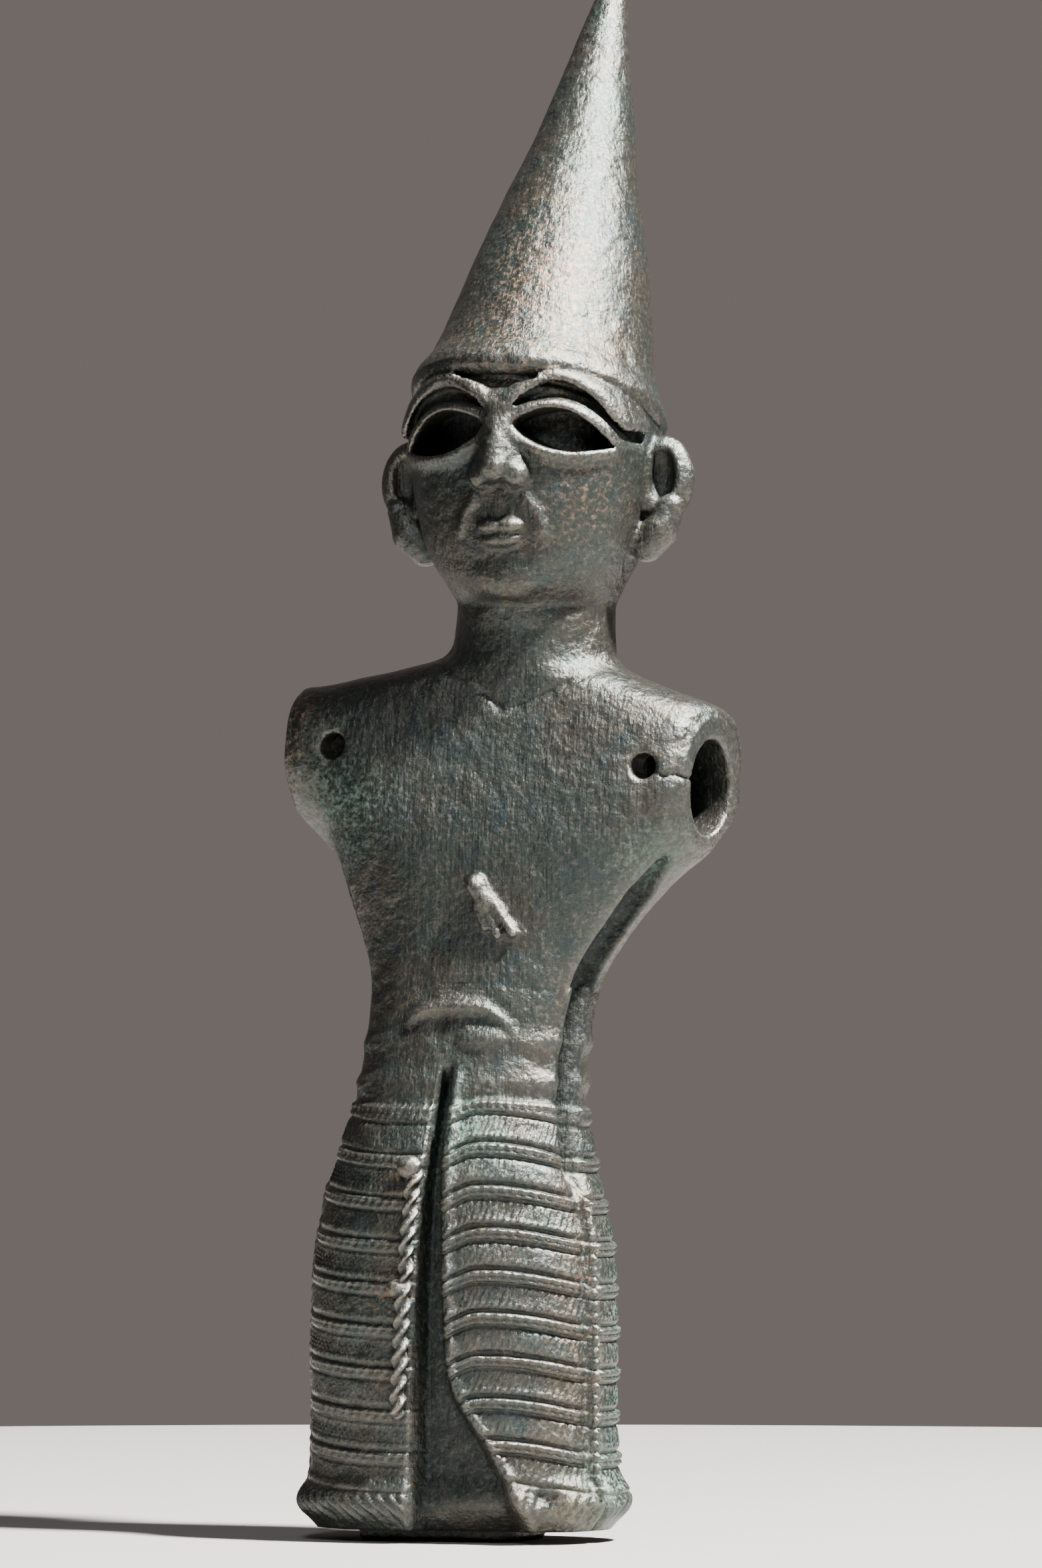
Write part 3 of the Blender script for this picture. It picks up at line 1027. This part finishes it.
def surface_marks(mesh, deep):
    """Stores hollows, worn edges, green and rust at the points for the bronze to use."""
    points, normals = read_rows(mesh.vertices, "co", 3) / MM, read_rows(mesh.vertices, "normal", 3)
    edges = read_rows(mesh.edges, "vertices", 2, np.int32)
    bend = np.sum((neighbour_mean(points, edges) - points) * normals, axis=1)
    reach = np.linalg.norm(points[edges[:, 0]] - points[edges[:, 1]], axis=1)
    mean_reach = np.bincount(edges.ravel(), weights=np.repeat(reach, 2)) / np.bincount(edges.ravel())
    bend = (bend / np.maximum(mean_reach, BENDS["least_reach"]) ** 2)[:, None]
    close = neighbour_mean(bend, edges)
    wide = close
    for _ in range(BENDS["rounds"]):
        wide = BENDS["keep"] * wide + (1.0 - BENDS["keep"]) * neighbour_mean(wide, edges)
    hollow = BENDS["hollow"][0] * close[:, 0] + BENDS["hollow"][1] * wide[:, 0] + deep
    worn = -BENDS["worn"][0] * close[:, 0] - BENDS["worn"][1] * wide[:, 0]
    green = sum(blob(points, *place) for place in GREEN_PLACES)
    rust = sum(strength * blob(points, middle, radii) for middle, radii, strength in RUST_PLACES)
    for name, values in (("hollow", hollow), ("worn", worn), ("green", green), ("rust", rust)):
        set_values(mesh, name, np.clip(values, 0.0, 1.0))


class Shader:
    """Adds shader nodes and their links to a material or a world."""

    def __init__(self, owner):
        owner.use_nodes = True
        self.nodes, self.links = owner.node_tree.nodes, owner.node_tree.links
        self.nodes.clear()

    def add(self, kind, settings=None, **inputs):
        """A new node with its settings, and sockets set to a value or linked to an output."""
        node = self.nodes.new(kind)
        for key, value in (settings or {}).items():
            setattr(node, key, value)
        for key, value in inputs.items():
            numbered = key[1:].isdigit()
            socket = node.inputs[int(key[1:])] if numbered else node.inputs[key.replace("_", " ")]
            if isinstance(value, bpy.types.NodeSocket):
                self.links.new(value, socket)
            else:
                socket.default_value = value
        return node

    def math(self, operation, one, two):
        """The outcome of one sum on two values, kept between 0 and 1."""
        settings = {"operation": operation, "use_clamp": True}
        return self.add("ShaderNodeMath", settings, i0=one, i1=two).outputs[0]

    def mix(self, share, low, high):
        """A colour between two by a share."""
        return self.add("ShaderNodeMix", {"data_type": "RGBA"}, i0=share, i6=low, i7=high).outputs[2]

    def noise(self, place, scale, detail, roughness):
        """Noise with a number of marks to each unit of the place."""
        inputs = {"Vector": place, "Scale": scale, "Detail": detail, "Roughness": roughness}
        return self.add("ShaderNodeTexNoise", None, **inputs).outputs["Fac"]

    def ramp(self, value, low, high):
        """0 to 1 between two values, eased."""
        settings = {"interpolation_type": "SMOOTHSTEP"}
        node = self.add("ShaderNodeMapRange", settings, Value=value, From_Min=low, From_Max=high)
        return node.outputs["Result"]

    def mark(self, name):
        """A number stored at the mesh's points."""
        settings = {"attribute_type": "GEOMETRY", "attribute_name": name}
        return self.add("ShaderNodeAttribute", settings).outputs["Fac"]


def solid(colour):
    """A colour with full cover."""
    return tuple(colour) + (1.0,)


def bronze_material(colours):
    """Old bronze: brown and olive patches, dark hollows, rubbed edges, green and rust."""
    material = bpy.data.materials.new("old bronze")
    shader = Shader(material)
    place = shader.add("ShaderNodeTexCoord").outputs["Object"]
    place = shader.add("ShaderNodeMapping", None, Vector=place, Scale=(1.0 / MM,) * 3).outputs[0]
    slant = (0.0, math.radians(SCRATCHES["slant"]), 0.0)
    slanted = shader.add("ShaderNodeMapping", None, Vector=place, Rotation=slant, Scale=SCRATCHES["stretch"])
    noise = {name: shader.noise(place, *values) for name, values in MOTTLING.items()}
    noise["scratches"] = shader.noise(slanted.outputs[0], *SCRATCHES["noise"])
    hollow, worn = shader.mark("hollow"), shader.mark("worn")

    def finish(name, noise_name):
        """Where the mottling lets a finish come in."""
        return shader.ramp(noise[noise_name], *FINISH_RANGE[name])

    colour = shader.mix(finish("brown", "broad"), solid(colours.olive), solid(colours.brown))
    cool = shader.math("MULTIPLY", finish("cool", "patches"), FINISH_SHARE["cool"])
    colour = shader.mix(cool, colour, solid(colours.cool))
    dusty = shader.math("MULTIPLY", finish("dust", "specks"), FINISH_SHARE["dust"])
    colour = shader.mix(dusty, colour, solid(colours.dust))
    rubbed = shader.math("MULTIPLY", worn, finish("rubbed", "grain"))
    rubbed = shader.math("MULTIPLY", rubbed, FINISH_SHARE["rubbed"])
    colour = shader.mix(rubbed, colour, solid(colours.rubbed))
    sunk = shader.math("MULTIPLY", hollow, finish("sunk", "specks"))
    colour = shader.mix(sunk, colour, solid(colours.sunk))
    rusty = shader.math("ADD", shader.mark("rust"), FINISH_SHARE["rust_all_over"])
    rust = shader.math("MULTIPLY", rusty, finish("rust", "specks"))
    colour = shader.mix(rust, colour, solid(colours.rust))
    in_hollows = shader.math("MULTIPLY", hollow, FINISH_SHARE["green_in_hollows"])
    spread = shader.math("ADD", shader.mark("green"), in_hollows)
    green = shader.math("MULTIPLY", spread, finish("green", "specks"))
    colour = shader.mix(green, colour, solid(colours.green))

    crust = shader.math("MAXIMUM", green, shader.math("MULTIPLY", rust, CRUST["rust_share"]))
    lost = shader.math("MULTIPLY", crust, CRUST["metal_loss"])
    metal = shader.math("SUBTRACT", BARE_METAL["metallic"], lost)
    rough = BARE_METAL["roughness"]
    for value, strength in ((noise["grain"], BARE_METAL["grain_roughness"]), (crust, CRUST["roughness"]),
                            (sunk, BARE_METAL["sunk_roughness"])):
        rough = shader.math("ADD", rough, shader.math("MULTIPLY", value, strength))
    relief = {}
    for name, (depth, strength) in BUMPS.items():
        bump = shader.add("ShaderNodeBump", None, Height=noise[name], Distance=depth, Strength=strength,
                          **relief)
        relief = {"Normal": bump.outputs[0]}
    skin = shader.add("ShaderNodeBsdfPrincipled", None, Base_Color=colour, Metallic=metal, Roughness=rough,
                      **relief)
    shader.add("ShaderNodeOutputMaterial", None, Surface=skin.outputs[0])
    return material


def plain_material(name, colour):
    """A matt plain colour."""
    material = bpy.data.materials.new(name)
    shader = Shader(material)
    skin = shader.add("ShaderNodeBsdfPrincipled", None, Base_Color=solid(colour), Roughness=MATT_ROUGHNESS)
    shader.add("ShaderNodeOutputMaterial", None, Surface=skin.outputs[0])
    return material


class FigurineSizes(bpy.types.PropertyGroup):
    """Sizes of the figurine's fine carving."""

    hatch_pitch: bpy.props.FloatProperty(
        name="Hatch Pitch", description="Distance between the skirt's hatch strokes",
        default=0.00078, min=0.0005, max=0.003, precision=5, subtype="DISTANCE", unit="LENGTH")
    hatch_depth: bpy.props.FloatProperty(
        name="Hatch Depth", description="Depth of the skirt's hatch strokes",
        default=0.00038, min=0.0, max=0.001, precision=5, subtype="DISTANCE", unit="LENGTH")


class FigurineColours(bpy.types.PropertyGroup):
    """Colours of the figurine's bronze."""

    olive: bpy.props.FloatVectorProperty(
        name="Olive", description="Greener part of the metal's skin",
        default=(0.041, 0.052, 0.048), min=0.0, max=1.0, subtype="COLOR")
    brown: bpy.props.FloatVectorProperty(
        name="Brown", description="Browner part of the metal's skin",
        default=(0.058, 0.056, 0.047), min=0.0, max=1.0, subtype="COLOR")
    cool: bpy.props.FloatVectorProperty(
        name="Cool Film", description="Thin blue-grey film on the metal",
        default=(0.027, 0.044, 0.055), min=0.0, max=1.0, subtype="COLOR")
    dust: bpy.props.FloatVectorProperty(
        name="Pale Specks", description="Pale specks in the metal's skin",
        default=(0.135, 0.138, 0.125), min=0.0, max=1.0, subtype="COLOR")
    rubbed: bpy.props.FloatVectorProperty(
        name="Rubbed Metal", description="Metal bared on edges by handling",
        default=(0.39, 0.375, 0.335), min=0.0, max=1.0, subtype="COLOR")
    sunk: bpy.props.FloatVectorProperty(
        name="Hollows", description="Dirt and dark patina in hollows",
        default=(0.007, 0.008, 0.011), min=0.0, max=1.0, subtype="COLOR")
    green: bpy.props.FloatVectorProperty(
        name="Green Corrosion", description="Green corrosion in patches and hollows",
        default=(0.075, 0.15, 0.12), min=0.0, max=1.0, subtype="COLOR")
    rust: bpy.props.FloatVectorProperty(
        name="Rust", description="Orange-brown corrosion",
        default=(0.24, 0.13, 0.075), min=0.0, max=1.0, subtype="COLOR")


class StageSettings(bpy.types.PropertyGroup):
    """Camera, light and floor."""

    azimuth: bpy.props.FloatProperty(
        name="Camera Azimuth", description="Turn of the camera towards the figure's left",
        default=math.radians(20), subtype="ANGLE", unit="ROTATION")
    elevation: bpy.props.FloatProperty(
        name="Camera Elevation", description="Angle of the camera above the horizon",
        default=math.radians(-2), subtype="ANGLE", unit="ROTATION")
    distance: bpy.props.FloatProperty(
        name="Camera Distance", description="Distance from the camera to the figure",
        default=1.0, min=0.3, subtype="DISTANCE", unit="LENGTH")
    field: bpy.props.FloatProperty(
        name="Picture Height", description="Height of the picture at the figure",
        default=0.1787, min=0.05, subtype="DISTANCE", unit="LENGTH")
    aim: bpy.props.FloatVectorProperty(
        name="Aim", description="Place in the middle of the picture",
        default=(0.0066, 0.0045, 0.0857), subtype="XYZ", unit="LENGTH")
    floor_radius: bpy.props.FloatProperty(
        name="Floor Radius", description="Radius of the round floor",
        default=0.34, min=0.1, subtype="DISTANCE", unit="LENGTH")
    floor_colour: bpy.props.FloatVectorProperty(
        name="Floor", description="Colour of the floor",
        default=(0.26, 0.245, 0.235), min=0.0, max=1.0, subtype="COLOR")
    room_colour: bpy.props.FloatVectorProperty(
        name="Room", description="Colour of the room behind the figure",
        default=(0.268, 0.232, 0.214), min=0.0, max=1.0, subtype="COLOR")
    dim_colour: bpy.props.FloatVectorProperty(
        name="Dim Side", description="Colour of the room in front of the figure",
        default=(0.075, 0.078, 0.082), min=0.0, max=1.0, subtype="COLOR")
    room_strength: bpy.props.FloatProperty(
        name="Room Strength", description="Strength of the light all round",
        default=0.62, min=0.0)
    key_power: bpy.props.FloatProperty(
        name="Key Light", description="Power of the main light",
        default=125.0, min=0.0, subtype="POWER", unit="POWER")
    front_power: bpy.props.FloatProperty(
        name="Front Light", description="Power of the light from the camera's side",
        default=3.6, min=0.0, subtype="POWER", unit="POWER")


class FIGURINE_OT_bronze(bpy.types.Operator):
    """Build the bronze figurine with its carving and patina"""

    bl_idname = "figurine.bronze"
    bl_label = "Build Figurine"

    def execute(self, context):
        points, quads, caps = lower_body(context.scene.figurine_sizes)
        piece = mesh_object("bronze_figurine", points, quads.tolist() + caps.tolist())
        points, quads = upper_body()
        upper = mesh_object("upper_body", points, quads.tolist())
        thin = upper.modifiers.new("thin", "DECIMATE")
        thin.ratio = min(1.0, UPPER_TRIANGLES / (2.0 * len(quads)))
        bake_modifiers(upper)
        knots = [knot_form(*knot) for knot in CORD_KNOTS]
        weld(piece, [upper, stub_form(), cord_form()] + knots)
        mesh = piece.data
        places = weathered(mesh)
        deep = deep_places(places)
        stood = np.column_stack(posed(*places.T)) * MM
        mesh.vertices.foreach_set("co", stood.ravel())
        mesh.update()
        mesh.polygons.foreach_set("use_smooth", np.ones(len(mesh.polygons), dtype=bool))
        surface_marks(mesh, deep)
        mesh.materials.clear()
        mesh.materials.append(bronze_material(context.scene.figurine_colours))
        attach(piece, "root")
        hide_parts("figurine")
        return {"FINISHED"}


def soft_light(name, light_settings, aim, power):
    """A square soft light that points at a place."""
    light = bpy.data.lights.new(name, "AREA")
    light.size = light_settings["size"]
    light.energy = power
    light.color = light_settings["colour"]
    lamp = bpy.data.objects.new(name, light)
    lamp.location = light_settings["place"]
    lamp.rotation_euler = (aim - Vector(light_settings["place"])).to_track_quat("-Z", "Y").to_euler()
    bpy.context.scene.collection.objects.link(lamp)


def round_floor(settings):
    """A flat round floor in a plain colour."""
    turn = np.linspace(0.0, 2.0 * np.pi, FLOOR_SIDES, endpoint=False)
    ring = np.column_stack([np.cos(turn), np.sin(turn), np.zeros(len(turn))]) * settings.floor_radius
    floor = mesh_object("floor", ring, [list(range(len(turn)))])
    floor.data.materials.append(plain_material("pale floor", settings.floor_colour))
    return floor


def room_world(settings):
    """Light all round, dim in front of the figure and brighter behind it."""
    world = bpy.data.worlds.new("room")
    shader = Shader(world)
    place = shader.add("ShaderNodeTexCoord").outputs["Generated"]
    backwards = shader.add("ShaderNodeSeparateXYZ", None, Vector=place).outputs["Y"]
    share = shader.ramp(backwards, *ROOM_TURN)
    colour = shader.mix(share, solid(settings.dim_colour), solid(settings.room_colour))
    back = shader.add("ShaderNodeBackground", None, Color=colour, Strength=settings.room_strength)
    shader.add("ShaderNodeOutputWorld", None, Surface=back.outputs[0])
    return world


def aimed_camera(settings):
    """A camera that holds the set height of picture at the figure."""
    lens = bpy.data.cameras.new("camera")
    lens.sensor_fit = "VERTICAL"
    lens.sensor_height = SENSOR_HEIGHT
    lens.lens = lens.sensor_height * settings.distance / settings.field
    lens.clip_start = NEAR_CLIP
    camera = bpy.data.objects.new("camera", lens)
    level = math.cos(settings.elevation)
    away = Vector((math.sin(settings.azimuth) * level, -math.cos(settings.azimuth) * level,
                   math.sin(settings.elevation)))
    camera.location = Vector(settings.aim) + away * settings.distance
    camera.rotation_euler = (-away).to_track_quat("-Z", "Y").to_euler()
    return camera


class FIGURINE_OT_stage(bpy.types.Operator):
    """Set the floor, the soft lights and the camera"""

    bl_idname = "figurine.stage"
    bl_label = "Set Stage"

    def execute(self, context):
        scene, settings = context.scene, context.scene.figurine_stage
        floor = round_floor(settings)
        scene.world = room_world(settings)
        aim = Vector(settings.aim)
        soft_light("key light", KEY_LIGHT, aim, settings.key_power)
        soft_light("front light", FRONT_LIGHT, aim, settings.front_power)
        camera = aimed_camera(settings)
        scene.collection.objects.link(camera)
        scene.camera = camera
        return {"FINISHED"}


class FIGURINE_PT_panel(bpy.types.Panel):
    """Sizes, colours and steps of the figurine"""

    bl_idname = "FIGURINE_PT_panel"
    bl_label = "Figurine"
    bl_space_type = "VIEW_3D"
    bl_region_type = "UI"
    bl_category = "Figurine"

    def draw(self, context):
        scene = context.scene
        for group in (scene.figurine_sizes, scene.figurine_colours, scene.figurine_stage):
            box = self.layout.box()
            for name in group.__annotations__:
                box.prop(group, name)
        self.layout.operator(FIGURINE_OT_bronze.bl_idname)
        self.layout.operator(FIGURINE_OT_stage.bl_idname)


CLASSES = (FigurineSizes, FigurineColours, StageSettings, FIGURINE_OT_bronze, FIGURINE_OT_stage,
           FIGURINE_PT_panel)


def register():
    """Adds the figurine's settings, steps and panel."""
    for part in CLASSES:
        bpy.utils.register_class(part)
    bpy.types.Scene.figurine_sizes = bpy.props.PointerProperty(type=FigurineSizes)
    bpy.types.Scene.figurine_colours = bpy.props.PointerProperty(type=FigurineColours)
    bpy.types.Scene.figurine_stage = bpy.props.PointerProperty(type=StageSettings)


def unregister():
    """Removes the figurine's settings, steps and panel."""
    del bpy.types.Scene.figurine_stage
    del bpy.types.Scene.figurine_colours
    del bpy.types.Scene.figurine_sizes
    for part in reversed(CLASSES):
        bpy.utils.unregister_class(part)


def main():
    """Builds the figurine and its stage."""
    register()
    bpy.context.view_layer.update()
    bpy.ops.figurine.bronze()
    bpy.ops.figurine.stage()


if __name__ == "__main__":
    main()
